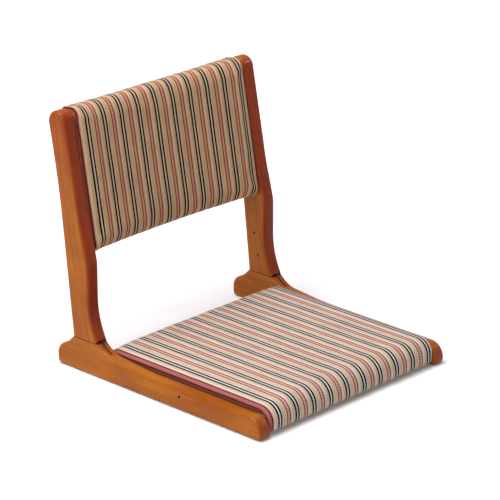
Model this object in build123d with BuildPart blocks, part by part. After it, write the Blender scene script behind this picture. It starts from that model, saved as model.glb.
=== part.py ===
from build123d import *
import os
from math import atan2, cos, degrees, hypot, radians, sin, tan

# A legless folding floor chair: two wooden rails lie on the floor and carry the
# padded seat, two leaning stiles carry the padded back, and a steel strap hinge
# hidden in each rail and stile lets the back fold forward on to the seat.
#
# Millimetres and degrees. +Z is up, the chair faces -Y, and +X is to the right
# as seen from the front. The origin is on the floor, under the middle of the
# frame's width and depth. A place in a side view is written (y, z).

os.makedirs("parts", exist_ok=True)

# ---- overall sizes of the wooden frame ------------------------------------------
overall_width = 430.0  # over both rails
overall_depth = 460.5  # rail tip to the rearmost point of a stile's rounded end
stile_top_height = 426.5
member_thickness = 25.0  # rails and stiles are cut from one board
edge_round = 6.0  # roundover on the long edges
overshoot = 5.0  # how far a cutting shape runs past the wood

# ---- rail outline ---------------------------------------------------------------
rail_height = 35.0
rail_tip_radius = 25.0
rail_toe_radius = 9.0  # both lower corners
seam_height = 57.0  # where the stile stands on the rail
seam_length = 56.6
heel_setback = 8.6  # heel to the rearmost point of the stile's end
heel_length = 37.9  # heel to the rear of the seam
heel_shoulder_height = 30.5
heel_shoulder_radius = 20.0
waist_run = 14.7  # from the rear of the seam to the hollow above the heel
waist_drop = 14.5
waist_radius = 25.0
throat_run = 16.1  # from the front of the seam down the hollow to the rail
throat_rise = 7.5  # above the rail
throat_radius = 50.0
rise_length = 102.0  # where the rail begins to rise, from the front of the seam
rise_radius = 600.0

# ---- stile outline --------------------------------------------------------------
back_lean = 10.85  # the padded part, from upright
stile_width = 37.6  # the padded part
stile_end_flat = 0.4  # left between the two rounded corners of its upper end
bend_drop = 100.0  # from the end's centre down to the bend in the rear edge
bend_radius = 1500.0
straight_drop = 162.0  # from the end's centre down to where the front edge steepens
straight_radius = 300.0
knee_drop = 220.0  # from the end's centre down to where the front edge is upright
knee_radius = 60.0
flare_run = 18.5  # the foot of the stile flares forward to the seam
flare_rise = 36.3
flare_radius = 140.0
seam_gap = 0.2
seam_front_radius = 4.0  # eased corners either side of the seam
seam_rear_radius = 5.0
corner_bite = 0.03  # how far an eased corner stands off from tangent

# ---- hinge ----------------------------------------------------------------------
pin_drop = 5.0  # below the seam, straight under its front edge
pin_radius = 2.0
pin_clearance = 0.05  # running fit
strap_half_width = 4.6
leaf_thickness = 1.6
leaf_gap = 0.2
leaf_side_clearance = 0.2
mortise_clearance = 0.1
stile_screw_low = (33.5, 31.4)  # behind and above the front edge of the seam
stile_screw_high = (42.1, 70.0)
rail_screw_place = (-16.1, -22.0)  # ahead of and below the front edge of the seam
kerf_rear = 14.0  # behind the front edge of the seam
hinge_screw_radius = 2.2
hinge_screw_length = 18.0
stile_screw_sink = 3.0  # the visible screws lie deep in their holes
rail_screw_sink = 0.5

# ---- seat frame -----------------------------------------------------------------
bar_bottom = 7.0
bar_height = 25.0
bar_depth = 22.0  # front bar, rear bar and side battens alike
front_bar_setback = 14.0  # from the front of the padding
rear_bar_setback = 4.0  # from the rear of the padding
seat_board_thickness = 6.0
board_side_margin = 3.0  # a board's edge to the wood beside it
dust_cloth_thickness = 0.8
dust_cloth_margin = 2.0
tenon_length = 9.0  # into a rail or stile
tenon_end_space = 0.5
tenon_height = 15.0  # on the bars
tenon_depth = 12.0
glue_clearance = 0.02
side_screw_setback = 173.5  # behind the rail's tip
side_screw_height = 23.5
side_screw_radius = 2.5
side_screw_length = 32.0
side_screw_sink = 2.5

# ---- seat padding ---------------------------------------------------------------
seat_front_setback = 1.5  # behind the rails' tips
seat_rear_overlap = 2.1  # past the front of the seam
seat_bottom = 5.0
seat_edge_height = 44.5
seat_crown_height = 47.5
seat_nose_radius = 32.0  # in the middle
seat_nose_edge_radius = 24.0  # at the sides
seat_rear_radius = 18.0
seat_hem_radius = 8.0
seat_rear_hem_radius = 3.0
seat_edge_round = 5.0
seat_rear_draw = 0.4  # the thin rear skirt draws in less than the front
pad_side_gap = 0.5  # padding to the wood beside it
pad_round_angles = (0, 30, 60, 90)
pad_middle_steps = (-0.8, -0.55, -0.28, 0, 0.28, 0.55, 0.8)

# ---- back padding, measured from the centre of the stile's rounded end -----------
back_front = 24.5  # forward
back_rear = 15.0  # rearward
back_top = 18.0  # upward
back_bottom = 220.4  # downward
back_hollow = 5.8  # the back is curved to hold the sitter
back_arch = 2.0  # the lower edge rises towards the middle
back_front_radius = 18.0
back_rear_radius = 10.0
back_edge_round = 7.0
back_foam = 14.0
back_board_thickness = 9.0
back_board_top_margin = 12.0
back_board_bottom_margin = 16.0
cleat_width = 18.0
cleat_end_margin = 4.0
rear_panel_thickness = 3.0
panel_margin = 1.0
cleat_tenon_width = 8.0
cleat_tenon_height = 30.0
cleat_tenon_spacing = 110.0  # between the middles of a cleat's two tenons

# ---- places that follow from the sizes above --------------------------------------
inner_x = overall_width / 2 - member_thickness
middle_x = overall_width / 2 - member_thickness / 2
rail_tip_y = -overall_depth / 2
heel_y = overall_depth / 2 - heel_setback
seam_rear_y = heel_y - heel_length
seam_front_y = seam_rear_y - seam_length
stile_end_radius = (stile_width - stile_end_flat) / 2
stile_foot_height = seam_height + seam_gap
stile_end_y = overall_depth / 2 - stile_end_radius
stile_end_height = stile_top_height - stile_end_radius
lean_sin = sin(radians(back_lean))
lean_cos = cos(radians(back_lean))
pin_spot = (seam_front_y, seam_height - pin_drop)
kerf_width = 2 * leaf_thickness + leaf_gap + 2 * leaf_side_clearance
bar_top = bar_bottom + bar_height
seat_front_y = rail_tip_y + seat_front_setback
seat_rear_y = seam_front_y + seat_rear_overlap
front_bar_y = seat_front_y + front_bar_setback
rear_bar_y = seat_rear_y - rear_bar_setback
pad_half_width = inner_x - pad_side_gap
board_half_width = inner_x - board_side_margin
back_board_top = back_top - back_board_top_margin
back_board_bottom = back_bottom - back_board_bottom_margin
back_board_height = back_board_top + back_board_bottom
back_board_middle = (back_board_top - back_board_bottom) / 2
panel_front = back_rear - rear_panel_thickness
back_curve_radius = (pad_half_width**2 + back_hollow**2) / (2 * back_hollow)
board_front_edge = back_front - back_foam
board_rear_edge = board_front_edge - back_board_thickness
cleat_middle = (board_rear_edge - panel_front) / 2
cleat_tenon_ups = [back_board_middle + step * cleat_tenon_spacing / 2 for step in (-1, 1)]
cleat_tenon_size = (cleat_tenon_width, cleat_tenon_height)
cleat_mortise_size = (cleat_tenon_width + 2 * glue_clearance, cleat_tenon_height + 2 * glue_clearance)
front_tenon = (front_bar_y + bar_depth / 2, bar_bottom + bar_height / 2)
rear_tenon = (rear_bar_y - bar_depth / 2, bar_bottom + bar_height / 2)
tenon_size = (tenon_depth, tenon_height)
mortise_size = (tenon_depth + 2 * glue_clearance, tenon_height + 2 * glue_clearance)
stile_screws = [
    (seam_front_y + back, seam_height + up) for back, up in (stile_screw_low, stile_screw_high)
]
hinge_screw_hole = hinge_screw_radius + glue_clearance
side_screw_hole = side_screw_radius + glue_clearance
rail_screw = (seam_front_y + rail_screw_place[0], seam_height + rail_screw_place[1])
side_screw = (rail_tip_y + side_screw_setback, side_screw_height)


def side_plane(x):
    """A plane facing +X whose sketches read (y, z)."""
    return Plane.YZ.offset(x)


def on_back(forward, up):
    """The (y, z) of a point given along the leaning back, from the centre of the stile's end."""
    y = stile_end_y - forward * lean_cos + up * lean_sin
    z = stile_end_height + forward * lean_sin + up * lean_cos
    return (y, z)


def back_level(up):
    """A plane square to the leaning back, whose sketches read (-x, forward)."""
    origin_y, origin_z = on_back(0, up)
    return Plane(origin=(0, origin_y, origin_z), x_dir=(-1, 0, 0), z_dir=(0, lean_sin, lean_cos))


def take_ahead_of_curve(edge_forward):
    """In a level sketch, take away all that lies ahead of the shallow curve of the back."""
    with Locations((0, edge_forward - back_hollow + back_curve_radius)):
        Circle(back_curve_radius, mode=Mode.SUBTRACT)


def rods_along_x(x_from, x_to, spots, radius, mode=Mode.ADD):
    """Round rods, or holes, between two planes, one at each (y, z) spot."""
    with BuildSketch(side_plane(min(x_from, x_to))) as section:
        with Locations(*spots):
            Circle(radius)
    extrude(section.sketch, amount=abs(x_to - x_from), mode=mode)


def blocks_along_x(x_from, x_to, spots, size, mode=Mode.ADD, turn=0):
    """Square rods, or mortises, between two planes, one at each (y, z) spot."""
    with BuildSketch(side_plane(min(x_from, x_to))) as section:
        with Locations(*spots):
            Rectangle(*size, rotation=turn)
    extrude(section.sketch, amount=abs(x_to - x_from), mode=mode)


def draw_strap(spots, half_width):
    """A bent strap of even width with round ends, through a row of (y, z) spots."""
    for (y1, z1), (y2, z2) in zip(spots, spots[1:]):
        turn = degrees(atan2(z2 - z1, y2 - y1))
        with Locations(((y1 + y2) / 2, (z1 + z2) / 2)):
            SlotCenterToCenter(hypot(y2 - y1, z2 - z1), 2 * half_width, rotation=turn)


def draw_corner_waste(corner, one_side, other_side, radius):
    """What is taken off to ease the corner between the directions of two points."""
    tip = Vector(*corner)
    one = (Vector(*one_side) - tip).normalized()
    other = (Vector(*other_side) - tip).normalized()
    inward = (one + other).normalized()
    half_angle = radians(one.get_angle(other) / 2)
    # The easing crosses both sides at a slight angle, so its ends are clean edges.
    inset = radius - corner_bite
    reach = inset / tan(half_angle)
    centre = tip + inward * (inset / sin(half_angle))
    Polygon(tip - inward * radius, tip + one * reach, centre, tip + other * reach, align=None)
    with Locations(centre):
        Circle(radius, mode=Mode.SUBTRACT)


def long_edges(member, seam_z):
    """The edges of a member's two broad faces, without those that lie in the seam."""
    faces = member.faces().filter_by(Axis.X)
    return [edge for face in faces for edge in face.edges() if abs(edge.center().Z - seam_z) > seam_gap / 2]


def save(builder, name):
    """Label a finished piece and write it."""
    builder.part.label = name
    export_step(builder.part, f"parts/{name}.step")


# ---- outlines -------------------------------------------------------------------
cleat_tenons = [on_back(cleat_middle, up) for up in cleat_tenon_ups]
throat = (seam_front_y - throat_run, rail_height + throat_rise)
waist = (seam_rear_y + waist_run, seam_height - waist_drop)
rail_outline = [
    (rail_tip_y, 0),
    (rail_tip_y, rail_height),
    (seam_front_y - rise_length, rail_height),
    throat,
    (seam_front_y, seam_height),
    (seam_rear_y, seam_height),
    waist,
    (heel_y, heel_shoulder_height),
    (heel_y, 0),
]
rail_radii = [
    rail_toe_radius,
    rail_tip_radius,
    rise_radius,
    throat_radius,
    0,
    0,
    waist_radius,
    heel_shoulder_radius,
    rail_toe_radius,
]

stile_front = stile_width - stile_end_radius
flare = (seam_front_y + flare_run, stile_foot_height + flare_rise)
rear_bend = on_back(-stile_end_radius, -bend_drop)
stile_outline = [
    (seam_front_y, stile_foot_height),
    flare,
    (seam_front_y + flare_run, stile_end_height - knee_drop),
    on_back(stile_front, -straight_drop),
    on_back(stile_front, stile_end_radius),
    on_back(-stile_end_radius, stile_end_radius),
    rear_bend,
    (seam_rear_y, stile_foot_height),
]
stile_radii = [
    0,
    flare_radius,
    knee_radius,
    straight_radius,
    stile_end_radius,
    stile_end_radius,
    bend_radius,
    0,
]

# ---- the two sides ----------------------------------------------------------------
for side_name, side in (("left", -1), ("right", 1)):
    inner_face = side * inner_x
    outer_face = side * overall_width / 2
    low_face = min(inner_face, outer_face)
    # The stile's leaf lies towards the seat, and the rail's leaf away from it.
    stile_leaf_x = side * (middle_x - leaf_gap / 2)
    stile_leaf_end = stile_leaf_x - side * leaf_thickness
    rail_leaf_x = side * (middle_x + leaf_gap / 2)
    rail_leaf_end = rail_leaf_x + side * leaf_thickness

    with BuildPart() as rail:
        with BuildSketch(side_plane(low_face)):
            with BuildLine():
                FilletPolyline(*rail_outline, radius=rail_radii, close=True)
            make_face()
        extrude(amount=member_thickness)
        fillet(long_edges(rail, seam_height), radius=edge_round)
        with BuildSketch(side_plane(low_face)):
            seam_front = (seam_front_y, seam_height)
            seam_rear = (seam_rear_y, seam_height)
            draw_corner_waste(seam_front, seam_rear, throat, seam_front_radius)
            draw_corner_waste(seam_rear, seam_front, waist, seam_rear_radius)
        extrude(amount=member_thickness, mode=Mode.SUBTRACT)
        # A mortise down from the seam opens on the hollow front of the upstand.
        kerf_front_y = rail_screw[0] - strap_half_width - leaf_side_clearance
        kerf_floor = rail_screw[1] - strap_half_width - leaf_side_clearance
        with BuildSketch(side_plane(side * middle_x - kerf_width / 2)):
            with Locations((kerf_front_y, kerf_floor)):
                Rectangle(
                    seam_front_y + kerf_rear - kerf_front_y,
                    seam_height + overshoot - kerf_floor,
                    align=(Align.MIN, Align.MIN),
                )
        extrude(amount=kerf_width, mode=Mode.SUBTRACT)
        screw_end = inner_face + side * (rail_screw_sink + hinge_screw_length)
        rods_along_x(inner_face, screw_end, [rail_screw], hinge_screw_hole, Mode.SUBTRACT)
        # One screw through the middle of the rail holds the seat's side batten.
        rods_along_x(outer_face, inner_face, [side_screw], side_screw_hole, Mode.SUBTRACT)
        mortise_end = inner_face + side * (tenon_length + tenon_end_space)
        blocks_along_x(inner_face, mortise_end, [front_tenon, rear_tenon], mortise_size, Mode.SUBTRACT)
    save(rail, f"{side_name}_rail")

    with BuildPart() as stile:
        with BuildSketch(side_plane(low_face)):
            with BuildLine():
                FilletPolyline(*stile_outline, radius=stile_radii, close=True)
            make_face()
        extrude(amount=member_thickness)
        fillet(long_edges(stile, stile_foot_height), radius=edge_round)
        with BuildSketch(side_plane(low_face)):
            foot_front = (seam_front_y, stile_foot_height)
            foot_rear = (seam_rear_y, stile_foot_height)
            draw_corner_waste(foot_front, foot_rear, flare, seam_front_radius)
            draw_corner_waste(foot_rear, foot_front, rear_bend, seam_rear_radius)
        extrude(amount=member_thickness, mode=Mode.SUBTRACT)
        # The mortise holds the strap alone, so it stays hidden in the wood.
        with BuildSketch(side_plane(min(stile_leaf_x, stile_leaf_end) - mortise_clearance)):
            draw_strap([pin_spot, *stile_screws], strap_half_width + mortise_clearance)
        extrude(amount=leaf_thickness + 2 * mortise_clearance, mode=Mode.SUBTRACT)
        screw_end = inner_face + side * (stile_screw_sink + hinge_screw_length)
        rods_along_x(inner_face, screw_end, stile_screws, hinge_screw_hole, Mode.SUBTRACT)
        blocks_along_x(inner_face, mortise_end, cleat_tenons, cleat_mortise_size, Mode.SUBTRACT, -back_lean)
    save(stile, f"{side_name}_stile")

    with BuildPart() as stile_leaf:
        with BuildSketch(side_plane(min(stile_leaf_x, stile_leaf_end))):
            draw_strap([pin_spot, *stile_screws], strap_half_width)
            with Locations(pin_spot):
                Circle(pin_radius + pin_clearance, mode=Mode.SUBTRACT)
            with Locations(*stile_screws):
                Circle(hinge_screw_hole, mode=Mode.SUBTRACT)
        extrude(amount=leaf_thickness)
    save(stile_leaf, f"{side_name}_stile_hinge_leaf")

    with BuildPart() as rail_leaf:
        with BuildSketch(side_plane(min(rail_leaf_x, rail_leaf_end))):
            draw_strap([pin_spot, rail_screw], strap_half_width)
            with Locations(pin_spot):
                Circle(pin_radius + glue_clearance, mode=Mode.SUBTRACT)
            with Locations(rail_screw):
                Circle(hinge_screw_hole, mode=Mode.SUBTRACT)
        extrude(amount=leaf_thickness)
    save(rail_leaf, f"{side_name}_rail_hinge_leaf")

    with BuildPart() as pin:
        rods_along_x(stile_leaf_end, rail_leaf_end, [pin_spot], pin_radius)
    save(pin, f"{side_name}_hinge_rivet")

    with BuildPart() as cleat:
        cleat_bottom = back_board_middle - back_board_height / 2 + cleat_end_margin
        with BuildSketch(back_level(cleat_bottom)):
            with Locations((-side * (inner_x - cleat_width / 2), -panel_front)):
                Rectangle(cleat_width, panel_front + back_front, align=(Align.CENTER, Align.MIN))
            # Its front follows the curved board that it carries.
            take_ahead_of_curve(board_rear_edge)
        extrude(amount=back_board_height - 2 * cleat_end_margin)
        tenon_end = inner_face + side * tenon_length
        blocks_along_x(inner_face, tenon_end, cleat_tenons, cleat_tenon_size, turn=-back_lean)
    save(cleat, f"back_{side_name}_cleat")

# ---- seat frame -------------------------------------------------------------------
batten_front_y = front_bar_y + bar_depth
batten_rear_y = rear_bar_y - bar_depth

for bar_name, bar_front_y, tenon in (
    ("seat_front_bar", front_bar_y, front_tenon),
    ("seat_rear_bar", batten_rear_y, rear_tenon),
):
    with BuildPart() as bar:
        with Locations((0, bar_front_y, bar_bottom)):
            Box(2 * inner_x, bar_depth, bar_height, align=(Align.CENTER, Align.MIN, Align.MIN))
        tenon_end = inner_x + tenon_length
        blocks_along_x(-tenon_end, tenon_end, [tenon], tenon_size)
    save(bar, bar_name)

for side_name, side in (("left", -1), ("right", 1)):
    with BuildPart() as batten:
        with Locations((side * (inner_x - bar_depth / 2), batten_front_y, bar_bottom)):
            Box(
                bar_depth,
                batten_rear_y - batten_front_y,
                bar_height,
                align=(Align.CENTER, Align.MIN, Align.MIN),
            )
        side_screw_end = side * (overall_width / 2 - side_screw_sink - side_screw_length)
        rods_along_x(side * inner_x, side_screw_end, [side_screw], side_screw_hole, Mode.SUBTRACT)
    save(batten, f"seat_{side_name}_batten")

with BuildPart() as seat_board:
    with Locations((0, front_bar_y, bar_top)):
        Box(
            2 * board_half_width,
            rear_bar_y - front_bar_y,
            seat_board_thickness,
            align=(Align.CENTER, Align.MIN, Align.MIN),
        )
save(seat_board, "seat_board")

with BuildPart() as seat_dust_cloth:
    with Locations((0, front_bar_y + dust_cloth_margin, bar_bottom)):
        Box(
            2 * (inner_x - dust_cloth_margin),
            rear_bar_y - front_bar_y - 2 * dust_cloth_margin,
            dust_cloth_thickness,
            align=(Align.CENTER, Align.MIN, Align.MAX),
        )
save(seat_dust_cloth, "seat_dust_cloth")

with BuildPart() as seat_side_screws:
    for side in (-1, 1):
        head_x = side * (overall_width / 2 - side_screw_sink)
        tip_x = head_x - side * side_screw_length
        rods_along_x(head_x, tip_x, [side_screw], side_screw_radius)
save(seat_side_screws, "seat_side_screws")

# ---- hinge screws, driven from the sides that face the padding -----------------------
for screw_name, spots, sink in (
    ("stile_hinge_screws", stile_screws, stile_screw_sink),
    ("rail_hinge_screws", [rail_screw], rail_screw_sink),
):
    with BuildPart() as hinge_screws:
        for side in (-1, 1):
            head_x = side * (inner_x + sink)
            rods_along_x(head_x, head_x + side * hinge_screw_length, spots, hinge_screw_radius)
    save(hinge_screws, screw_name)

# ---- seat padding -------------------------------------------------------------------


def pad_stations(edge_rounding):
    """Stations across a pad: x, how far the pad is drawn in there, and how near the middle it is."""
    ends = []
    for angle in pad_round_angles:
        inward = edge_rounding * (1 - cos(radians(angle)))
        drawn = edge_rounding * (1 - sin(radians(angle)))
        ends.append((pad_half_width - inward, drawn))
    left = [(-x, drawn) for x, drawn in ends]
    middle = [(step * pad_half_width, 0.0) for step in pad_middle_steps]
    return [(x, drawn, 1 - (x / pad_half_width) ** 2) for x, drawn in left + middle + ends[::-1]]


with BuildPart() as seat_cushion:
    for x, drawn, centrality in pad_stations(seat_edge_round):
        top = seat_edge_height + (seat_crown_height - seat_edge_height) * centrality - drawn
        nose = seat_nose_edge_radius + (seat_nose_radius - seat_nose_edge_radius) * centrality
        front = seat_front_y + drawn
        rear = seat_rear_y - drawn * seat_rear_draw
        with BuildSketch(side_plane(x)):
            with BuildLine():
                FilletPolyline(
                    (front, seat_bottom),
                    (front, top),
                    (rear, top),
                    (rear, seat_bottom),
                    radius=[seat_hem_radius, nose, seat_rear_radius, seat_rear_hem_radius],
                    close=True,
                )
            make_face()
    loft(ruled=True)
    # The padding is drawn down round the board and over the bars at front and rear.
    with Locations((0, front_bar_y, bar_top)):
        Box(
            2 * overall_width,
            rear_bar_y - front_bar_y,
            bar_top,
            align=(Align.CENTER, Align.MIN, Align.MAX),
            mode=Mode.SUBTRACT,
        )
        Box(
            2 * board_half_width,
            rear_bar_y - front_bar_y,
            seat_board_thickness,
            align=(Align.CENTER, Align.MIN, Align.MIN),
            mode=Mode.SUBTRACT,
        )
save(seat_cushion, "seat_cushion")

# ---- back ---------------------------------------------------------------------------
with BuildPart() as back_cushion:
    for x, drawn, centrality in pad_stations(back_edge_round):
        front = back_front - back_hollow * centrality - drawn
        top = back_top - drawn
        bottom = back_bottom - back_arch * centrality - drawn
        with BuildSketch(side_plane(x)):
            with BuildLine():
                FilletPolyline(
                    on_back(front, -bottom),
                    on_back(front, top),
                    on_back(-back_rear, top),
                    on_back(-back_rear, -bottom),
                    radius=[back_front_radius, back_front_radius, back_rear_radius, back_rear_radius],
                    close=True,
                )
            make_face()
    loft(ruled=True)
    # The padding is wrapped over the curved board above and below it.
    with BuildSketch(back_level(-back_board_bottom)):
        with Locations((0, -back_rear)):
            Rectangle(2 * overall_width, 2 * overall_width)
        take_ahead_of_curve(board_front_edge)
    extrude(amount=back_board_height, mode=Mode.SUBTRACT)
save(back_cushion, "back_cushion")

with BuildPart() as back_board:
    with BuildSketch(back_level(-back_board_bottom)):
        with Locations((0, -panel_front)):
            Rectangle(2 * board_half_width, panel_front + back_front, align=(Align.CENTER, Align.MIN))
        take_ahead_of_curve(board_front_edge)
    extrude(amount=back_board_height)
    with BuildSketch(back_level(-back_board_bottom)):
        with Locations((0, -panel_front)):
            Rectangle(2 * board_half_width, panel_front + back_front, align=(Align.CENTER, Align.MIN))
        take_ahead_of_curve(board_rear_edge)
    extrude(amount=back_board_height, mode=Mode.SUBTRACT)
save(back_board, "back_board")

with BuildPart() as back_rear_panel:
    with BuildSketch(back_level(panel_margin - back_board_bottom)):
        with Locations((0, -back_rear)):
            Rectangle(2 * (inner_x - panel_margin), rear_panel_thickness, align=(Align.CENTER, Align.MIN))
    extrude(amount=back_board_height - 2 * panel_margin)
save(back_rear_panel, "back_rear_panel")
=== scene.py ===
from math import cos, pi, radians, sin, tan

import bmesh
import bpy
from mathutils import Matrix, Vector, noise


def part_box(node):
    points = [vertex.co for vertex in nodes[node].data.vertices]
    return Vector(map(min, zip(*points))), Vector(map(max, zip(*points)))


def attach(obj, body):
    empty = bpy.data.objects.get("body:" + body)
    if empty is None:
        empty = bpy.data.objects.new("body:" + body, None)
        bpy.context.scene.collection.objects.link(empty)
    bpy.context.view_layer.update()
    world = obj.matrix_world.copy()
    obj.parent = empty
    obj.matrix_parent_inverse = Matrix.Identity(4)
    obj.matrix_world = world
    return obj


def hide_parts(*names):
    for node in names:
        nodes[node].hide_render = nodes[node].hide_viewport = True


# A legless folding floor chair in lacquered wood with a striped, padded seat and
# back. Metres. +Z is up, the chair faces -Y, +X is to the right from the front.

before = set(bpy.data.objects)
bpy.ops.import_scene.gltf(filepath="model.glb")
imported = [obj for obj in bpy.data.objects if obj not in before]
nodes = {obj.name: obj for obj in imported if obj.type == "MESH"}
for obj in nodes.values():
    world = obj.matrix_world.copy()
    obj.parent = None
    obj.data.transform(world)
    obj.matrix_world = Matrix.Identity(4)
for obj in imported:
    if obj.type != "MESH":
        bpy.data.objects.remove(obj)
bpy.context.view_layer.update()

# ---- the view in the photograph -------------------------------------------------
camera_azimuth = radians(-46.24)
camera_elevation = radians(20.79)
camera_target = Vector((0.1420, 0.1334, 0.1186))
camera_distance = 4.699
camera_lens = 203.5

# ---- padding --------------------------------------------------------------------
mesh_step = 0.005  # spacing of the points in a cushion
pocket_clearance = 0.0003
swell_allowance = 0.0012  # the cushions are built this much under size before they swell
swell_cap = 0.0028  # the furthest that the cloth may swell
swell_pressure = 4.0
swell_frames = 20
ripple_scale = 38.0
fine_ripple_scale = 95.0
ripple_height = 0.0004
round_steps = 6
held_rows = 2  # at each hem
cap_rings = 2  # between the outer and the inner skin at each side
hidden_cloth = 0.02  # the cloth turned in between the outer and the inner skin
side_clearance = 0.0002  # what is kept between the padding and the wood beside it

seat_low, seat_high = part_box("seat_cushion")
front_bar_low, front_bar_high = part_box("seat_front_bar")
rear_bar_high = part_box("seat_rear_bar")[1]
seat_board_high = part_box("seat_board")[1]
seat_plateau = 0.0028  # the padding stands this much over its CAD solid
seat_left_fall = 0.0050  # and falls off near its sides
seat_right_fall = 0.0022
seat_fall_power = 6
seat_stripe_slide = 0.004  # the seat's stripes lie a little to the right of the back's
seat_nose_radius = 0.032
seat_nose_edge_radius = 0.024
seat_rear_radius = 0.018
seat_hem_radius = 0.008
seat_rear_hem_radius = 0.003
seat_edge_round = 0.005
seat_edge_pull = 0.72  # the share of the cloth's width that the tight sides use up
seat_steps = 92
seat_rear_draw = 0.4  # the thin rear skirt draws in less than the front

back_lean = radians(10.85)
seam_height = 0.0571  # where the stiles stand on the rails
stile_end = Vector((0, 0.21165, 0.4079))  # the middle of the stiles' rounded ends
back_front = 0.0245
back_rear = 0.015
back_top = 0.022
back_bottom = 0.2204
back_hollow = 0.0058
back_tilt_top = 0.0004  # the front of the pad is fuller at the top than at the bottom
back_tilt_bottom = -0.0025
back_arch = 0.002
back_front_radius = 0.018
back_top_radius = 0.016
back_rear_radius = 0.008
back_edge_round = 0.007
back_foam = 0.014
back_board_top = 0.006
back_board_bottom = 0.2044
back_edge_pull = 0.85
back_steps = 72

pad_half_width = seat_high.x

# ---- folds, hems and screws -------------------------------------------------------
rail_tip_centre = Vector((-0.20525, 0.010))  # the rails' rounded tips, in (y, z)
rail_tip_radius = 0.025
flap_inner_x = 0.1862
flap_fold = (0, -0.2115, 0.0371)
flap_fold_normal = Vector((0, 0.76, -0.65))
flap_low = 0.0085
flap_fade = 0.0025
flap_pressed = 0.0001
flap_lift = 0.0009
cloth_ply = 0.0007
pocket_margin = 0.0009  # the pad's inner skin lies within this of the front bar, and the flap leaves it out
hem_forward = 0.0168
hem_thickness = 0.0009
hem_out = 0.00054  # from the pad's side to the middle of the hem
hem_width = 0.0026
hem_end_margin = 0.014
hem_steps = 90
hem_corners = 10
hem_waver = 0.0005
hem_waver_scale = 45.0
hem_waver_seed = 7.0
hem_pucker = -0.065  # up along the back, where the cloth is caught in a small pucker
hem_pucker_reach = 0.006
hem_tuck = 0.0018
dust_ply = 0.0004
dust_tack_spacing = 0.02  # over which the cloth comes free of the wood
dust_steps = 56
dust_ruck_scale = 30.0
dust_ruck_seed = 3.0
dust_sag = 0.25  # the share of the cloth's slack that hangs down
weld_distance = 0.00002
screw_segments = 48
screw_crown_steps = 12
# The parts of a screw, in shares of the radius of its head.
screw_rim = 0.96
screw_crown = 0.16
screw_head_edge = 0.55
screw_head_depth = 0.95
screw_shank = 0.55
screw_point = 0.88  # this one is a share of the screw's length
slot_half_width = 0.13
slot_reach = 0.62
slot_depth = 0.35

# ---- cloth ----------------------------------------------------------------------
stripe_repeat = 0.03855
red_band_middle = 0.0015  # of the band nearest to the middle of the cloth
hem_cloth_place = red_band_middle - 5 * stripe_repeat  # the dark red band at the cloth's edge
# The lines' places and widths are shares of the repeat.
line_offset = 0.0805  # from the middle of a pair of lines to the middle of either line
black_line = 0.096
red_line = 0.062
selvedge_start = 0.1862  # beyond this the band is woven in a darker red
stripe_waver = 0.0009
hatch_across = 0.0050
hatch_along = 0.0046
twill_across = 0.0016
twill_along = 0.0018

# ---- wood -----------------------------------------------------------------------
# The sizes of the grain's figures, the long way along the wood.
growth_size = (0.007, 0.007, 0.16)
fibre_size = (0.0011, 0.0011, 0.045)
pore_size = (0.0005, 0.0005, 0.009)
cloud_scale = 13.0
joint_shade_span = 0.004  # the height of the painted shade in the joint between rail and stile, with its soft edges
foot_shade_span = 0.005  # and of the painted contact shade along the floor

# ---- studio ---------------------------------------------------------------------
lamp_target = Vector((0, 0, 0.2))
floor_size = 60.0
floor_far = 4.0  # the floor's own glow grows from the chair's middle to here
world_strength = 0.14
world_tint = (1.0, 0.90, 0.76, 1)


# ---- materials --------------------------------------------------------------------
def srgb(red, green, blue):
    """A colour written in the 0-255 values of a picture, as the shaders want it."""
    levels = [channel / 255 for channel in (red, green, blue)]
    linear = [level / 12.92 if level <= 0.04045 else ((level + 0.055) / 1.055) ** 2.4 for level in levels]
    return (*linear, 1.0)


def grey(level):
    """A neutral factor as a colour."""
    return (level, level, level, 1.0)


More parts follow.
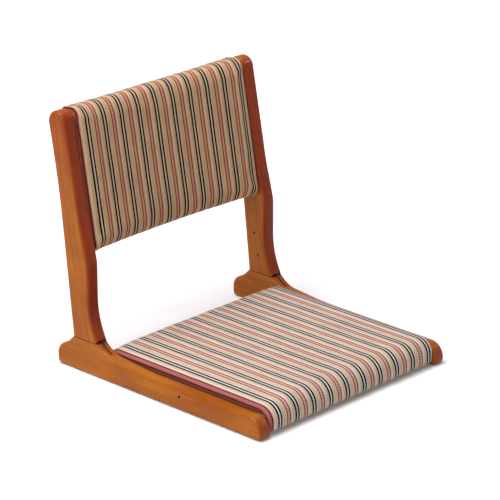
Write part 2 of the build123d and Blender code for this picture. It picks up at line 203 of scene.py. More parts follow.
class Finish:
    """One material, or the world, and the small vocabulary that its nodes are built with."""

    def __init__(self, name, kind="materials", shader="Principled BSDF"):
        self.material = getattr(bpy.data, kind).new(name)
        self.material.use_nodes = True
        self.tree = self.material.node_tree
        self.shader = self.tree.nodes[shader]

    def add(self, kind, **settings):
        """A new shader node."""
        node = self.tree.nodes.new("ShaderNode" + kind)
        for name, value in settings.items():
            setattr(node, name, value)
        return node

    def feed(self, socket, value):
        """Link a socket to another, or set its constant."""
        if isinstance(value, bpy.types.NodeSocket):
            self.tree.links.new(value, socket)
        else:
            socket.default_value = value

    def set(self, **sockets):
        """Set or link the shader's own sockets; an underscore stands for a space."""
        for name, value in sockets.items():
            self.feed(self.shader.inputs[name.replace("_", " ")], value)

    def math(self, operation, first, second=0.0, third=0.5):
        """The result of one step of arithmetic."""
        node = self.add("Math", operation=operation)
        for socket, value in zip(node.inputs, (first, second, third)):
            self.feed(socket, value)
        return node.outputs[0]

    def white_rays(self):
        """One for the rays that see the white studio: the camera's, and those off or through a surface."""
        seen = self.add("LightPath")
        shown = self.math("MAXIMUM", seen.outputs["Is Camera Ray"], seen.outputs["Is Glossy Ray"])
        return self.math("MAXIMUM", shown, seen.outputs["Is Transmission Ray"])

    def mix(self, share, first, second, blend_type="MIX"):
        """A blend of two colours."""
        node = self.add("Mix", data_type="RGBA", blend_type=blend_type)
        self.feed(node.inputs[0], share)
        self.feed(node.inputs[6], first)
        self.feed(node.inputs[7], second)
        return node.outputs[2]

    def ramp(self, value, stops, interpolation="LINEAR"):
        """A colour for each value, through (position, colour) stops."""
        node = self.add("ValToRGB")
        ramp = node.color_ramp
        ramp.interpolation = interpolation
        ramp.elements.remove(ramp.elements[1])
        ramp.elements[0].position, ramp.elements[0].color = stops[0]
        for position, colour in stops[1:]:
            ramp.elements.new(position).color = colour
        self.feed(node.inputs["Fac"], value)
        return node.outputs["Color"]

    def scale(self, tone, factor):
        """A colour multiplied by a factor that is a colour too."""
        return self.mix(1.0, tone, factor, "MULTIPLY")

    def noise(self, vector, scale=1.0, detail=2.0):
        """Smooth noise around a half."""
        node = self.add("TexNoise")
        self.feed(node.inputs["Vector"], vector)
        self.feed(node.inputs["Scale"], scale)
        self.feed(node.inputs["Detail"], detail)
        return node.outputs["Fac"]

    def cells(self, vector, size, turn=(0, 0, 0)):
        """Coordinates counted in cells of a given size, along turned axes."""
        node = self.add("Mapping", vector_type="TEXTURE")
        self.feed(node.inputs["Vector"], vector)
        self.feed(node.inputs["Rotation"], turn)
        self.feed(node.inputs["Scale"], size)
        return node.outputs["Vector"]

    def place(self):
        """Where a point lies in the chair's own frame."""
        return self.add("TexCoord").outputs["Object"]

    def parts(self, vector):
        """The X, Y and Z of a vector."""
        node = self.add("SeparateXYZ")
        self.feed(node.inputs[0], vector)
        return node.outputs

    def lines(self, first, first_spacing, second, second_spacing):
        """Slanting lines, from 0 to 1 and back, across two coordinates."""
        first = self.math("DIVIDE", first, first_spacing)
        second = self.math("DIVIDE", second, second_spacing)
        slant = self.math("ADD", first, second)
        wave = self.math("SINE", self.math("MULTIPLY", slant, 2 * pi))
        return self.math("MULTIPLY_ADD", wave, 0.5)

    def bump(self, height, distance, strength=1.0):
        """Let a height shape the shader's normal."""
        node = self.add("Bump")
        self.feed(node.inputs["Strength"], strength)
        self.feed(node.inputs["Distance"], distance)
        self.feed(node.inputs["Height"], height)
        self.feed(self.shader.inputs["Normal"], node.outputs["Normal"])


def make_wood(name, turn, face, edge, dark, coat, roughness):
    """Wood with its grain along the turned Z axis, redder high up, and redder where it looks forward or
    back: partly edge and end grain, partly painted shade.
    """
    finish = Finish(name)
    place = finish.place()
    growth = finish.noise(finish.cells(place, growth_size, turn), detail=3.0)
    fibre = finish.noise(finish.cells(place, fibre_size, turn), detail=3.0)
    cloud = finish.noise(place, scale=cloud_scale, detail=3.0)
    pores = finish.noise(finish.cells(place, pore_size, turn), detail=1.0)
    normal = finish.parts(finish.add("NewGeometry").outputs["Normal"])
    # Painted shade, partly real edge and end grain: faces that look forward or back take the redder, darker
    # edge tone.
    facing_grain_and_shade = finish.ramp(finish.math("ABSOLUTE", normal["Y"]), [(0.15, grey(0)), (0.85, grey(1))])
    height = finish.parts(place)["Z"]
    redder = finish.ramp(height, [(0.28, grey(0)), (0.42, grey(0.5))])
    tone = finish.mix(finish.math("MAXIMUM", facing_grain_and_shade, redder), face, edge)
    tone = finish.mix(finish.ramp(growth, [(0.35, grey(0.0)), (0.68, grey(0.42))]), tone, dark)
    tone = finish.scale(tone, finish.ramp(fibre, [(0.3, grey(0.82)), (0.7, grey(1.10))]))
    clouds = [(0.32, (0.86, 0.78, 0.74, 1)), (0.66, (1.08, 1.14, 1.1, 1))]
    tone = finish.scale(tone, finish.ramp(cloud, clouds))
    tone = finish.scale(tone, finish.ramp(pores, [(0.60, grey(1.0)), (0.72, grey(0.74))]))
    # Painted shade in the gap of the joint between rail and stile, and painted contact shade along the
    # floor.
    joint_shade = finish.math("MULTIPLY_ADD", height, 1 / joint_shade_span, 0.5 - seam_height / joint_shade_span)
    gap_shade = [(0.2, grey(1)), (0.4, grey(0.25)), (0.62, grey(0.25)), (0.85, grey(1))]
    tone = finish.scale(tone, finish.ramp(joint_shade, gap_shade))
    # Painted contact shade: darker towards the floor.
    low = finish.math("MULTIPLY", height, 1 / foot_shade_span)
    tone = finish.scale(tone, finish.ramp(low, [(0.1, grey(0.45)), (0.9, grey(1))]))
    finish.set(Base_Color=tone, Roughness=roughness, Specular_IOR_Level=0.05)
    finish.set(Coat_Weight=coat, Coat_Roughness=0.15, Coat_IOR=1.5)
    finish.bump(fibre, 0.00005)
    return finish.material


def stripe_stops():
    """The stripes over one repeat, which starts in the middle of the band between two red lines."""
    black = srgb(18, 10, 6)
    white = srgb(224, 208, 192)
    lilac = srgb(226, 202, 192)
    khaki = srgb(208, 180, 142)
    tan = srgb(218, 180, 152)
    brick = srgb(138, 70, 48)
    salmon = srgb(194, 130, 104)
    red_near, red_far = line_offset - red_line / 2, line_offset + red_line / 2
    black_near, black_far = line_offset - black_line / 2, line_offset + black_line / 2
    # Between the lines the ground changes its colour from thread to thread.
    return [
        (0.0, salmon),
        (red_near, brick),
        (red_far, tan),
        (red_far + 0.055, lilac),
        (red_far + 0.125, khaki),
        (0.5 - black_far, black),
        (0.5 - black_near, white),
        (0.5 + black_near, black),
        (0.5 + black_far, lilac),
        (0.5 + black_far + 0.045, khaki),
        (1 - red_far - 0.09, tan),
        (1 - red_far, brick),
        (1 - red_near, salmon),
    ]


def make_cloth():
    """Striped cloth: the stripes follow the width of the cloth, which the mesh carries as its first UV."""
    finish = Finish("woven_stripes")
    cloth = finish.add("UVMap", uv_map="cloth").outputs["UV"]
    separate = finish.parts(cloth)
    across, along = separate["X"], separate["Y"]
    waver = finish.noise(finish.cells(cloth, (0.02, 0.05, 1.0)), detail=2.0)
    waver = finish.math("MULTIPLY", finish.math("SUBTRACT", waver, 0.5), stripe_waver)
    across = finish.math("ADD", across, waver)
    phase = finish.math("DIVIDE", finish.math("SUBTRACT", across, red_band_middle), stripe_repeat)
    phase = finish.math("FRACT", phase)
    tone = finish.ramp(phase, stripe_stops(), "CONSTANT")
    # The band between the two red lines is woven with a coarse slanting hatch.
    hatch = finish.lines(across, hatch_across, along, hatch_along)
    hatch = finish.ramp(hatch, [(0.35, grey(0)), (0.65, grey(1))])
    band_edge = line_offset - red_line / 2
    in_band = finish.ramp(phase, [(0, grey(1)), (band_edge, grey(0)), (1 - band_edge, grey(1))], "CONSTANT")
    tone = finish.mix(finish.math("MULTIPLY", hatch, in_band), tone, srgb(230, 186, 170))
    # At the cloth's edges the band is a darker red, and beyond it, in the groove by the rail, a painted
    # shade darkens it.
    reddened, groove_shade, blur = 0.9, 0.945, 0.002
    sideways = finish.math("MULTIPLY", finish.math("ABSOLUTE", across), reddened / selvedge_start)
    dark_red = (0.62, 0.34, 0.38, 1)
    gap_shade = (0.28, 0.15, 0.15, 1)
    edge_tones = [
        (reddened - blur, grey(1)),
        (reddened + blur, dark_red),
        (groove_shade - blur, dark_red),
        # Painted shade of the groove by the rail.
        (groove_shade + blur, gap_shade),
    ]
    tone = finish.scale(tone, finish.ramp(sideways, edge_tones))
    slub = finish.noise(finish.cells(cloth, (0.0012, 0.03, 1.0)), detail=2.0)
    tone = finish.scale(tone, finish.ramp(slub, [(0.3, grey(0.84)), (0.7, grey(1.10))]))
    weave = finish.lines(across, twill_across, along, twill_along)
    weave = finish.ramp(weave, [(0, grey(0)), (1, grey(1))])
    # The twill's recesses are painted darker, a painted shade beside its bump.
    tone = finish.scale(tone, finish.mix(weave, grey(0.88), grey(1.05)))
    # Painted light: the seat's cloth is painted paler and pinker, a painted sheen where it faces up, and
    # the back's cloth darker and browner, a painted shade.
    height = finish.parts(finish.place())["Z"]
    seat_sheen_back_shade = [(0.06, (1.0, 1.13, 1.26, 1)), (0.12, (0.90, 0.85, 0.74, 1))]
    tone = finish.scale(tone, finish.ramp(height, seat_sheen_back_shade))
    patches = finish.noise(finish.cells(cloth, (0.05, 0.05, 1.0)), detail=3.0)
    tone = finish.scale(tone, finish.ramp(patches, [(0.3, grey(0.93)), (0.7, grey(1.04))]))
    finish.set(Base_Color=tone, Roughness=0.85, Specular_IOR_Level=0.1)
    finish.set(Sheen_Weight=0.4, Sheen_Roughness=0.2, Sheen_Tint=(0.97, 0.93, 0.97, 1.0))
    finish.bump(finish.mix(0.5, weave, slub), 0.00018, 0.8)
    return finish.material


def make_dust_cloth():
    """Thin bonded black cloth with pressed dots."""
    finish = Finish("bonded_black_cloth")
    place = finish.place()
    dots = finish.add("TexVoronoi", feature="F1")
    finish.feed(dots.inputs["Vector"], place)
    finish.feed(dots.inputs["Scale"], 600.0)
    pressed = finish.ramp(dots.outputs["Distance"], [(0.15, grey(0.0)), (0.35, grey(1.0))])
    threads = finish.noise(place, scale=900.0, detail=3.0)
    tone = finish.mix(pressed, srgb(30, 30, 32), srgb(58, 57, 60))
    tone = finish.scale(tone, finish.ramp(threads, [(0.3, grey(0.7)), (0.7, grey(1.3))]))
    finish.set(Base_Color=tone, Roughness=0.9, Sheen_Weight=0.2)
    finish.bump(pressed, 0.0002)
    return finish.material


def make_steel(name, tone, roughness):
    """Dull browned steel with rolling marks."""
    finish = Finish(name)
    marks = finish.noise(finish.cells(finish.place(), (0.002, 0.02, 0.0004)), detail=3.0)
    worn = finish.ramp(marks, [(0.3, grey(0.75)), (0.7, grey(1.15))])
    finish.set(Base_Color=finish.scale(tone, worn), Metallic=1.0, Roughness=roughness)
    finish.bump(marks, 0.00004)
    return finish.material


honey = srgb(176, 99, 8)
# red_brown and tip_brown are the tones where the wood looks forward or back: partly edge and end grain,
# partly painted shade.
red_brown = srgb(154, 56, 12)
tip_brown = srgb(158, 74, 16)
dark_brown = srgb(124, 44, 8)
rail_turn = (radians(90), 0, 0)
stile_turn = (-back_lean, 0, 0)
across_turn = (0, radians(90), 0)
rail_wood = make_wood("lacquered_rail", rail_turn, honey, tip_brown, dark_brown, 0.26, 0.45)
stile_wood = make_wood("lacquered_stile", stile_turn, honey, red_brown, dark_brown, 0.26, 0.45)
pale = srgb(214, 182, 136)
pale_dark = srgb(176, 138, 92)
ply_face = srgb(206, 170, 122)
ply_edge = srgb(186, 148, 102)
stained = srgb(150, 88, 42)
bar_wood = make_wood("sawn_bar", across_turn, pale, pale, pale_dark, 0.0, 0.75)
batten_wood = make_wood("sawn_batten", rail_turn, pale, pale, pale_dark, 0.0, 0.75)
cleat_wood = make_wood("sawn_cleat", stile_turn, pale, pale, pale_dark, 0.0, 0.75)
board_wood = make_wood("plywood", rail_turn, ply_face, ply_edge, pale_dark, 0.0, 0.7)
panel_wood = make_wood("stained_panel", stile_turn, stained, stained, dark_brown, 0.25, 0.5)
woven_cloth = make_cloth()
black_cloth = make_dust_cloth()
# The strap's steel is browned dark, and the dark also paints the shade of the slot it sits in.
strap_steel_and_slot_shade = make_steel("browned_strap_and_slot_shade", srgb(74, 62, 52), 0.5)
screw_steel = make_steel("browned_screw", srgb(96, 84, 72), 0.42)

# The first word that is in a node's name gives its finish.
finish_words = [
    ("cushion", woven_cloth),
    ("leaf", strap_steel_and_slot_shade),
    ("rivet", strap_steel_and_slot_shade),
    ("screws", screw_steel),
    ("dust_cloth", black_cloth),
    ("rear_panel", panel_wood),
    ("board", board_wood),
    ("cleat", cleat_wood),
    ("batten", batten_wood),
    ("bar", bar_wood),
    ("stile", stile_wood),
    ("rail", rail_wood),
]
for name, node in nodes.items():
    finish = next(material for word, material in finish_words if word in name)
    for material_slot in node.material_slots:
        material_slot.material = finish


# ---- meshes -----------------------------------------------------------------------
def make_piece(name, mesh, material):
    """A new object of one material from a finished bmesh."""
    data = bpy.data.meshes.new(name)
    mesh.to_mesh(data)
    mesh.free()
    data.materials.append(material)
    piece = bpy.data.objects.new(name, data)
    bpy.context.scene.collection.objects.link(piece)
    return piece


def change_for_good(piece, kind, **settings):
    """Put one modifier on a piece and apply it."""
    modifier = piece.modifiers.new(kind.lower(), kind)
    for name, value in settings.items():
        setattr(modifier, name, value)
    depsgraph = bpy.context.evaluated_depsgraph_get()
    changed = bpy.data.meshes.new_from_object(piece.evaluated_get(depsgraph))
    piece.modifiers.remove(modifier)
    piece.data = changed


# ---- cushions ---------------------------------------------------------------------
def rounded_path(corners, radii):
    """Closely spaced points along straight runs whose inner corners are rounded."""
    points = [Vector(corners[0])]
    for before, corner, after, radius in zip(corners, corners[1:], corners[2:], radii):
        corner, before, after = Vector(corner), Vector(before), Vector(after)
        towards_before = (before - corner).normalized()
        towards_after = (after - corner).normalized()
        half_angle = towards_before.angle(towards_after) / 2
        middle = (towards_before + towards_after).normalized()
        centre = corner + middle * (radius / sin(half_angle))
        first = corner + towards_before * (radius / tan(half_angle)) - centre
        last = corner + towards_after * (radius / tan(half_angle)) - centre
        for step in range(round_steps * 2 + 1):
            share = step / (round_steps * 2)
            points.append(centre + first.slerp(last, share).normalized() * radius if radius else corner)
    points.append(Vector(corners[-1]))
    return points


def spread(points, count):
    """The same path as a number of points at even steps, each with its distance from the start."""
    lengths = [0.0]
    for one, other in zip(points, points[1:]):
        lengths.append(lengths[-1] + (other - one).length)
    result = []
    segment = 0
    for step in range(count):
        reach = lengths[-1] * step / (count - 1)
        while segment < len(points) - 2 and lengths[segment + 1] < reach:
            segment += 1
        run = lengths[segment + 1] - lengths[segment]
        share = (reach - lengths[segment]) / run if run else 0.0
        result.append((points[segment].lerp(points[segment + 1], min(share, 1.0)), reach))
    return result


def centrality(x):
    """One in the middle of a pad, and falling to nothing at its sides."""
    return 1 - (x / pad_half_width) ** 2


def stations(edge_rounding, pull, slide):
    """Places across a pad: x, how far the pad is drawn in there, and the cloth's width.

    The cloth is pulled tight over the sides, so less of its width is used up there.
    """
    flat_half = pad_half_width - edge_rounding
    rounding = []
    for step in range(round_steps):
        angle = pi / 2 * step / round_steps
        x = flat_half + edge_rounding * cos(angle)
        drawn = edge_rounding * (1 - sin(angle))
        rounding.append((x, drawn, flat_half + edge_rounding * (pi / 2 - angle) * pull))
    count = round(2 * flat_half / mesh_step)
    middle = [(-flat_half + 2 * flat_half * step / count, 0.0) for step in range(count + 1)]
    places = [(-x, drawn, -width) for x, drawn, width in rounding]
    places += [(x, drawn, x) for x, drawn in middle]
    places += rounding[::-1]
    return [(x, drawn, width - slide) for x, drawn, width in places]


def build_skin(name, places, pull, outer_at, inner_at, put, count):
    """A padded shell: an outer and an inner path at each station, closed by a strip at each side."""
    mesh = bmesh.new()
    cloth = mesh.loops.layers.uv.new("cloth")
    width_at = {}
    held = []

    def add_point(x, spot, cloth_place, fixed):
        vertex = mesh.verts.new(put(x, spot))
        width_at[vertex] = cloth_place
        held.append(fixed)
        return vertex

    rings = []
    for x, drawn, width in places:
        outer = spread(outer_at(x, drawn), count)
        inner = spread(inner_at(x), count)
        ring = [
            add_point(x, spot, (width, reach), step < held_rows or step >= count - held_rows)
            for step, (spot, reach) in enumerate(outer)
        ]
        total = outer[-1][1]
        ring += [
            add_point(x, spot, (width, total + hidden_cloth + reach), True)
            for spot, reach in reversed(inner)
        ]
        rings.append(ring)
    for one, other in zip(rings, rings[1:]):
        size = len(one)
        for step in range(size):
            following = (step + 1) % size
            mesh.faces.new((one[step], one[following], other[following], other[step]))
    # The sides are closed between the outer and the inner path, and next to the outer one they can swell.
    for ring, (x, drawn, width) in ((rings[0], places[0]), (rings[-1], places[-1])):
        sign = -1 if x < 0 else 1
        layers = [ring[:count]]
        inner_row = ring[count:][::-1]
        for layer in range(1, cap_rings + 1):
            share = layer / (cap_rings + 1)
            row = []
            for outer_vertex, inner_vertex in zip(layers[0], inner_row):
                spot = outer_vertex.co.lerp(inner_vertex.co, share)
                vertex = mesh.verts.new(spot)
                depth = (spot - outer_vertex.co).length
                width_at[vertex] = (width + sign * depth * pull, width_at[outer_vertex][1])
                held.append(layer > 1)
                row.append(vertex)
            layers.append(row)
        layers.append(inner_row)
        for one, other in zip(layers, layers[1:]):
            for step in range(count - 1):
                corners = (one[step], one[step + 1], other[step + 1], other[step])
                mesh.faces.new(corners[::-1] if sign > 0 else corners)
    bmesh.ops.recalc_face_normals(mesh, faces=mesh.faces)
    for face in mesh.faces:
        face.smooth = True
        for loop in face.loops:
            loop[cloth].uv = width_at[loop.vert]
    return make_piece(name, mesh, woven_cloth), held


def swell(skin, held):
    """Blow the free cloth out under light pressure, no further than the cap, and keep the result."""
    start = [vertex.co.copy() for vertex in skin.data.vertices]
    fixed = skin.vertex_groups.new(name="held")
    fixed.add([index for index, is_held in enumerate(held) if is_held], 1.0, "REPLACE")
    cloth = skin.modifiers.new("cloth", "CLOTH")
    cloth.settings.use_pressure = True
    cloth.settings.uniform_pressure_force = swell_pressure
    cloth.settings.vertex_group_mass = "held"
    cloth.settings.effector_weights.gravity = 0.0
    cloth.point_cache.frame_start = 1
    cloth.point_cache.frame_end = swell_frames
    scene = bpy.context.scene
    for step in range(1, swell_frames + 1):
        scene.frame_set(step)
    depsgraph = bpy.context.evaluated_depsgraph_get()
    swollen = [vertex.co.copy() for vertex in skin.evaluated_get(depsgraph).data.vertices]
    skin.modifiers.remove(cloth)
    scene.frame_set(1)
    for vertex, before, after in zip(skin.data.vertices, start, swollen):
        move = after - before
        if move.length > swell_cap:
            move *= swell_cap / move.length
        vertex.co = before + move


def settle(skin):
    """Add the small unevenness of stretched cloth and keep off the wood at the sides."""
    limit_x = pad_half_width + side_clearance
    for vertex in skin.data.vertices:
        spot = vertex.co
        soft = noise.noise(spot * ripple_scale) + 0.5 * noise.noise(spot * fine_ripple_scale)
        vertex.co = spot + vertex.normal * (soft * ripple_height)
        vertex.co.x = max(-limit_x, min(limit_x, vertex.co.x))


def seat_outer(x, drawn):
    """The seat's upholstered outline in (y, z), from the front hem over the top to the rear hem."""
    inset = swell_allowance
    front = seat_low.y + drawn + inset
    rear = seat_high.y - drawn * seat_rear_draw - inset / 2
    fall = (seat_left_fall if x < 0 else seat_right_fall) * abs(x / pad_half_width) ** seat_fall_power
    top = seat_high.z + seat_plateau - fall - drawn - inset
    nose = seat_nose_edge_radius + (seat_nose_radius - seat_nose_edge_radius) * centrality(x)
    corners = [
        (front_bar_low.y - pocket_clearance, seat_low.z),
        (front, seat_low.z),
        (front, top),
        (rear, top),
        (rear, seat_low.z),
        (rear_bar_high.y + pocket_clearance, seat_low.z),
    ]
    return rounded_path(corners, [seat_hem_radius, nose, seat_rear_radius, seat_rear_hem_radius])


def seat_inner(x):
    """The pocket that holds the bars and the board, in (y, z)."""
    over_board = abs(x) < seat_board_high.x + pocket_clearance
    ceiling = (seat_board_high.z if over_board else front_bar_high.z) + pocket_clearance
    corners = [
        (front_bar_low.y - pocket_clearance, seat_low.z),
        (front_bar_low.y - pocket_clearance, ceiling),
        (rear_bar_high.y + pocket_clearance, ceiling),
        (rear_bar_high.y + pocket_clearance, seat_low.z),
    ]
    return rounded_path(corners, [0.0, 0.0])


def on_seat(x, spot):
    """A place given in (y, z), as (x, y, z)."""
    return (x, spot.x, spot.y)


def back_outer(x, drawn):
    """The back's upholstered outline in (forward, up), from the lower lip round to the upper lip."""
    inset = swell_allowance
    front = back_front - back_hollow * centrality(x) - drawn - inset
    top = back_top - drawn - inset
    bottom = back_bottom - back_arch * centrality(x) - drawn - inset
    corners = [
        (-back_rear, -back_board_bottom),
        (-back_rear, -bottom),
        (front + back_tilt_bottom, -bottom),
        (front + back_tilt_top, top),
        (-back_rear, top),
        (-back_rear, back_board_top),
    ]
    return rounded_path(corners, [back_rear_radius, back_front_radius, back_top_radius, back_rear_radius])


def back_inner(x):
    """The pocket that holds the curved board, in (forward, up)."""
    board_front = back_front - back_foam - back_hollow * centrality(x) + pocket_clearance
    low = -back_board_bottom - pocket_clearance
    high = back_board_top + pocket_clearance
    corners = [(-back_rear, low), (board_front, low), (board_front, high), (-back_rear, high)]
    return rounded_path(corners, [0.0, 0.0])


def on_back(x, spot):
    """A place given along the leaning back, as (x, y, z)."""
    forward, up = spot
    y = stile_end.y - forward * cos(back_lean) + up * sin(back_lean)
    z = stile_end.z + forward * sin(back_lean) + up * cos(back_lean)
    return (x, y, z)


def make_cushion(name, node, body, edge_rounding, pull, slide, outer_at, inner_at, put, count):
    """A finished cushion in the place of its CAD solid."""
    places = stations(edge_rounding, pull, slide)
    skin, held = build_skin(name, places, pull, outer_at, inner_at, put, count)
    swell(skin, held)
    settle(skin)
    change_for_good(skin, "SUBSURF", levels=1, render_levels=1)
    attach(skin, body)
    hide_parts(node)
    return skin


seat_pad = make_cushion(
    "seat_pad", "seat_cushion", "base", seat_edge_round, seat_edge_pull, seat_stripe_slide,
    seat_outer, seat_inner, on_seat, seat_steps,
)
make_cushion(
    "back_pad", "back_cushion", "backrest", back_edge_round, back_edge_pull, 0.0,
    back_outer, back_inner, on_back, back_steps,
)


# ---- folds, hems and screws ---------------------------------------------------------
def cut_away(mesh, spot, outward):
    """Keep only what lies behind a plane."""
    geometry = mesh.verts[:] + mesh.edges[:] + mesh.faces[:]
    bmesh.ops.bisect_plane(mesh, geom=geometry, plane_co=spot, plane_no=outward, clear_outer=True)


def make_corner_flap(name, side):
    """The cloth turned over at a front corner of the seat: a second layer on the pad's own surface."""
    mesh = bmesh.new()
    mesh.from_mesh(seat_pad.data)
    cut_away(mesh, (side * flap_inner_x, 0, 0), (-side, 0, 0))
    cut_away(mesh, flap_fold, flap_fold_normal)
    cut_away(mesh, (0, 0, flap_low), (0, 0, -1))
    inside = [
        face for face in mesh.faces
        if face.calc_center_median().y > front_bar_low.y - pocket_margin
        and face.calc_center_median().z < front_bar_high.z + pocket_margin
    ]
    bmesh.ops.delete(mesh, geom=inside, context="FACES")
    mesh.normal_update()
    for vertex in mesh.verts:
        # Beside the rail the layer is pressed flat, and clear of the rail it stands proud.
        beyond = (Vector((vertex.co.y, vertex.co.z)) - rail_tip_centre).length - rail_tip_radius
        free = max(0.0, min(1.0, beyond / flap_fade))
        vertex.co += vertex.normal * (flap_pressed + (flap_lift - flap_pressed) * free)
    flap = make_piece(name, mesh, woven_cloth)
    change_for_good(flap, "SOLIDIFY", thickness=cloth_ply, offset=-1.0)
    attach(flap, "base")


def sweep(name, sections, material):
    """A closed tube through rings of points, each ring a list of (place, uv)."""
    mesh = bmesh.new()
    cloth = mesh.loops.layers.uv.new("cloth")
    uv_at = {}
    rings = []
    for section in sections:
        ring = []
        for place, uv in section:
            vertex = mesh.verts.new(place)
            uv_at[vertex] = uv
            ring.append(vertex)
        rings.append(ring)
    for one, other in zip(rings, rings[1:]):
        for step in range(len(one)):
            following = (step + 1) % len(one)
            mesh.faces.new((one[step], one[following], other[following], other[step]))
    mesh.faces.new(rings[0][::-1])
    mesh.faces.new(rings[-1])
    bmesh.ops.recalc_face_normals(mesh, faces=mesh.faces)
    for face in mesh.faces:
        face.smooth = len(face.verts) == 4
        for loop in face.loops:
            loop[cloth].uv = uv_at[loop.vert]
    return make_piece(name, mesh, material)


def make_side_hem(name, side):
    """The turned edge of the back's cloth, in the groove between the pad and a stile."""
    sections = []
    run = back_top + back_bottom - 2 * hem_end_margin
    for step in range(hem_steps + 1):
        up = hem_end_margin - back_bottom + run * step / hem_steps
        tuck = hem_tuck * max(0.0, 1 - abs(up - hem_pucker) / hem_pucker_reach)
        waver = hem_waver * noise.noise(Vector((side * hem_waver_seed, up * hem_waver_scale, 0.0)))
        middle = Vector((pad_half_width + hem_out, hem_forward + waver + tuck))
        ring = []
        for corner in range(hem_corners):
            angle = 2 * pi * corner / hem_corners
            x = side * (middle.x + hem_thickness / 2 * cos(angle))
            forward = middle.y + hem_width / 2 * sin(angle)
            ring.append((on_back(x, (forward, up)), (hem_cloth_place + hem_width * sin(angle) / 2, up)))
        sections.append(ring)
    hem = sweep(name, sections, woven_cloth)
    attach(hem, "backrest")


def make_dust_sheet():
    """The thin black cloth stretched under the seat, which sags a little between its edges."""
    low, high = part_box("seat_dust_cloth")
    width, length = high.x - low.x, high.y - low.y
    mesh = bmesh.new()
    turn = Matrix.Translation((low + high) / 2) @ Matrix.Diagonal((width / 2, length / 2, 1.0, 1.0))
    bmesh.ops.create_grid(mesh, x_segments=dust_steps, y_segments=dust_steps, size=1.0, matrix=turn)
    slack = (high.z - low.z - dust_ply) / 2
    for vertex in mesh.verts:
        edge = min(vertex.co.x - low.x, high.x - vertex.co.x, vertex.co.y - low.y, high.y - vertex.co.y)
        free = min(edge / dust_tack_spacing, 1.0)
        x, y = vertex.co.x * dust_ruck_scale, vertex.co.y * dust_ruck_scale
        ruck = noise.noise(Vector((x, y, dust_ruck_seed)))
        vertex.co.z += slack * max(-1.0, min(1.0, ruck - dust_sag)) * free
    for face in mesh.faces:
        face.smooth = True
    cloth = make_piece("dust_sheet", mesh, black_cloth)
    change_for_good(cloth, "SOLIDIFY", thickness=dust_ply, offset=0.0)
    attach(cloth, "base")
    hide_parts("seat_dust_cloth")


def loose_boxes(node):
    """The lowest and highest corner of each separate solid of a node."""
    mesh = bmesh.new()
    mesh.from_mesh(nodes[node].data)
    bmesh.ops.remove_doubles(mesh, verts=mesh.verts, dist=weld_distance)
    waiting = set(mesh.verts)
    boxes = []
    while waiting:
        front = [waiting.pop()]
        found = list(front)
        while front:
            for edge in front.pop().link_edges:
                for vertex in edge.verts:
                    if vertex in waiting:
                        waiting.remove(vertex)
                        front.append(vertex)
                        found.append(vertex)
        low = Vector([min(vertex.co[axis] for vertex in found) for axis in range(3)])
        high = Vector([max(vertex.co[axis] for vertex in found) for axis in range(3)])
        boxes.append((low, high))
    mesh.free()
    return sorted(boxes, key=lambda box: tuple(box[0]))


def screw_profile(radius, length):
    """A round-headed screw's outline, from the middle of the head to the point, as (reach, depth)."""
    shares = [step / screw_crown_steps for step in range(screw_crown_steps + 1)]
    return [(share * radius * screw_rim, radius * screw_crown * share**4) for share in shares] + [
        (radius * screw_rim, radius * screw_head_edge),
        (radius * screw_shank, radius * screw_head_depth),
        (radius * screw_shank, length * screw_point),
        (0.0, length),
    ]


def make_screws(name, node, body, outward):
    """Round-headed, cross-slotted screws in the place of a node's plain ones."""
    mesh = bmesh.new()
    for low, high in loose_boxes(node):
        centre = (low + high) / 2
        side = 1 if centre.x > 0 else -1
        points_to = side if outward else -side  # the way the head faces
        head_x = high.x if points_to > 0 else low.x
        radius = (high.z - low.z) / 2
        rings = []
        for reach, depth in screw_profile(radius, high.x - low.x):
            ring = []
            for step in range(screw_segments):
                angle = 2 * pi * step / screw_segments
                across, up = reach * cos(angle), reach * sin(angle)
                in_arm = min(abs(across), abs(up)) < radius * slot_half_width
                in_slot = in_arm and reach < radius * slot_reach and depth < radius * screw_crown
                x = head_x - points_to * (depth + (radius * slot_depth if in_slot else 0.0))
                ring.append(mesh.verts.new((x, centre.y + across, centre.z + up)))
                if not reach:
                    break
            rings.append(ring)
        for one, other in zip(rings, rings[1:]):
            for step in range(screw_segments):
                following = (step + 1) % screw_segments
                corners = [one[step % len(one)], one[following % len(one)]]
                corners += [other[following % len(other)], other[step % len(other)]]
                mesh.faces.new(list(dict.fromkeys(corners)))
    bmesh.ops.recalc_face_normals(mesh, faces=mesh.faces)
    screws = make_piece(name, mesh, screw_steel)
    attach(screws, body)
    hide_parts(node)


for side_name, side in (("left", -1), ("right", 1)):
    make_corner_flap(f"{side_name}_corner_flap", side)
    make_side_hem(f"{side_name}_side_hem", side)
make_dust_sheet()
make_screws("side_screws", "seat_side_screws", "base", True)
make_screws("rail_strap_screws", "rail_hinge_screws", "base", False)
make_screws("stile_strap_screws", "stile_hinge_screws", "backrest", False)


# ---- floor, light and camera --------------------------------------------------------
def aim(obj, place, target):
    """Put a lamp or camera at a place, looking at a target."""
    back = (place - target).normalized()
    right = Vector((0, 0, 1)).cross(back).normalized()
    up = back.cross(right)
    turn = Matrix((right, up, back)).transposed().to_4x4()
    obj.matrix_world = Matrix.Translation(place) @ turn


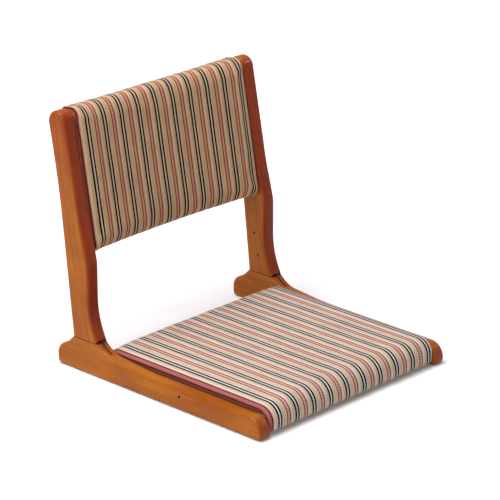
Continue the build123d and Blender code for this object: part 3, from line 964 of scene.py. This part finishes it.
def make_floor():
    """A wide pale floor that shows white to the camera and still takes the chair's shadow."""
    finish = Finish("pale_floor")
    mottled = finish.noise(finish.place(), scale=3.0, detail=4.0)
    tone = finish.ramp(mottled, [(0.3, srgb(246, 246, 246)), (0.7, srgb(249, 249, 249))])
    away = finish.add("VectorMath", operation="LENGTH")
    finish.feed(away.inputs[0], finish.place())
    far = finish.math("DIVIDE", away.outputs["Value"], floor_far)
    far_glow = finish.ramp(far, [(0.09, grey(0.12)), (0.22, grey(0.34)), (0.75, grey(0.80))])
    glow = finish.math("MULTIPLY", finish.white_rays(), far_glow)
    finish.set(Base_Color=tone, Roughness=0.9, Specular_IOR_Level=0.0)
    finish.set(Emission_Color=(1, 1, 1, 1), Emission_Strength=glow)
    bpy.ops.mesh.primitive_plane_add(size=floor_size, location=(0, 0, 0))
    floor = bpy.context.object
    floor.name = "pale_floor"
    floor.data.materials.append(finish.material)


def make_world():
    """Even, warm light all round, and plain white where the camera or a gloss sees past the floor."""
    finish = Finish("studio", "worlds", "Background")
    white_rays = finish.white_rays()
    level = finish.math("MULTIPLY_ADD", white_rays, 1 - world_strength, world_strength)
    finish.set(Color=finish.mix(white_rays, world_tint, (1, 1, 1, 1)), Strength=level)
    bpy.context.scene.world = finish.material


def make_softbox(name, place, size, power, colour=(1.0, 1.0, 1.0)):
    """A square studio lamp aimed at the chair."""
    lamp = bpy.data.lights.new(name, "AREA")
    lamp.size = size
    lamp.energy = power
    lamp.color = colour
    obj = bpy.data.objects.new(name, lamp)
    bpy.context.scene.collection.objects.link(obj)
    aim(obj, Vector(place), lamp_target)


make_floor()
make_world()
make_softbox("overhead_softbox", (-0.6, 0.5, 3.1), 2.0, 106.0, (0.95, 0.93, 1.0))
make_softbox("left_softbox", (-2.4, 0.1, 1.0), 1.2, 20.0)
make_softbox("right_softbox", (1.7, -0.85, 1.6), 0.22, 3.0)
make_softbox("high_softbox", (-0.7, -0.85, 2.8), 0.25, 8.0)

lens = bpy.data.cameras.new("photo_camera")
lens.lens = camera_lens
lens.sensor_width = 36.0
camera = bpy.data.objects.new("photo_camera", lens)
bpy.context.scene.collection.objects.link(camera)
bpy.context.scene.camera = camera
towards_camera = Vector((
    sin(camera_azimuth) * cos(camera_elevation),
    -cos(camera_azimuth) * cos(camera_elevation),
    sin(camera_elevation),
))
aim(camera, camera_target + towards_camera * camera_distance, camera_target)

bpy.context.scene.view_settings.view_transform = "Standard"
